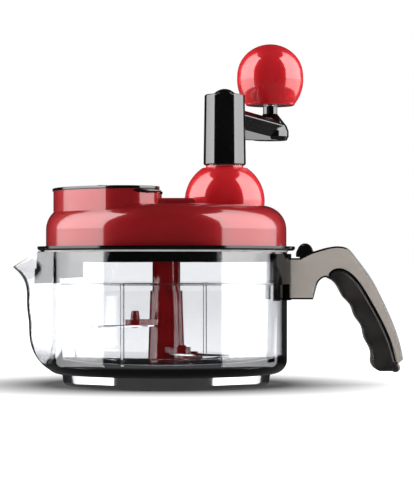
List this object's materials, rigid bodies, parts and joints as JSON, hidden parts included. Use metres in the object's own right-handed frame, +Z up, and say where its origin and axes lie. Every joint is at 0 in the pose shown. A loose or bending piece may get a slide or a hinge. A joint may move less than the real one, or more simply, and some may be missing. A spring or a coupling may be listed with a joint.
{
  "type": "crank food chopper",
  "caption": "Clear bowl with spout and side handle, red domed lid with feed chute, top crank geared to a bladed column standing in the bowl.",
  "frame": {"origin": "middle of the base cap's underside, on the bowl's axis", "axes": "+Z up the bowl's axis, +X towards the handle, -X towards the spout"},
  "size_m": [0.2915, 0.1928, 0.2612],
  "materials": {
    "clear_plastic": "clear gloss",
    "clear_red_plastic": "clear gloss",
    "red_plastic": "gloss",
    "black_gloss": "gloss",
    "black_plastic": "satin",
    "black_soft": "matt soft-touch",
    "black_rubber": "satin",
    "grey_silicone": "matt",
    "white_plastic": "satin",
    "steel": "bright"
  },
  "bodies": {
    "bowl": {"base_cap": "black_rubber", "bowl": "clear_plastic", "centre_pin": "steel", "handle_bracket": "black_plastic", "handle_shell": "black_gloss", "handle_grip": "black_soft", "handle_screws": "steel", "latch_spring": "steel"},
    "latch": {"latch_button": "black_gloss"},
    "blades": {"blade_column": "clear_red_plastic", "column_bush": "white_plastic", "blade_rivets": "steel", "lower_blade": "steel", "middle_blade": "steel", "upper_blade": "steel"},
    "lid": {"inner_lid": "black_plastic", "lid_seal": "grey_silicone", "lid_shell": "red_plastic", "lid_screws": "steel", "crank_housing": "red_plastic", "crank_bush": "white_plastic", "crank_foot_bush": "white_plastic", "spindle_bush": "white_plastic", "spindle_top_bush": "white_plastic", "cover_hinge_pin": "steel"},
    "spindle": {"drive_spindle": "steel", "drive_pinion": "white_plastic"},
    "crank": {"crank_gear": "white_plastic", "crank_shaft": "steel", "thrust_washer": "white_plastic", "crank_arm": "black_gloss", "crank_screw": "steel", "crank_cap": "black_gloss", "knob_axle": "steel"},
    "knob": {"crank_knob": "red_plastic", "knob_bush": "white_plastic"},
    "chute_cover": {"chute_cover": "black_gloss"}
  },
  "joints": [
    {"name": "latch_press", "type": "slide", "parent": "bowl", "child": "latch", "axis": [0, 0, -1], "range_m": [0, 0.003], "stiffness_N_per_m": 400, "springref_m": -0.004, "deforming": ["latch_spring"]},
    {"name": "lid_lift", "type": "slide", "parent": "bowl", "child": "lid", "axis": [0, 0, 1], "range_m": [0, 0.06]},
    {"name": "crank_spin", "type": "hinge", "parent": "lid", "child": "crank", "pos_m": [0.04375, 0, 0], "axis": [0, 0, 1], "continuous": true},
    {"name": "spindle_spin", "type": "hinge", "parent": "lid", "child": "spindle", "pos_m": [0, 0, 0], "axis": [0, 0, 1], "continuous": true},
    {"name": "blade_spin", "type": "hinge", "parent": "bowl", "child": "blades", "pos_m": [0, 0, 0], "axis": [0, 0, 1], "continuous": true},
    {"name": "knob_spin", "type": "hinge", "parent": "crank", "child": "knob", "pos_m": [0.07975, 0.06235, 0], "axis": [0, 0, 1], "continuous": true},
    {"name": "cover_hinge", "type": "hinge", "parent": "lid", "child": "chute_cover", "pos_m": [-0.04558, 0.07586, 0.1484], "axis": [-0.8572, -0.515, 0], "range_deg": [0, 110]}
  ],
  "couplings": [
    {"joint": "spindle_spin", "follows": "crank_spin", "ratio": -2.8889},
    {"joint": "blade_spin", "follows": "crank_spin", "ratio": -2.8889}
  ]
}
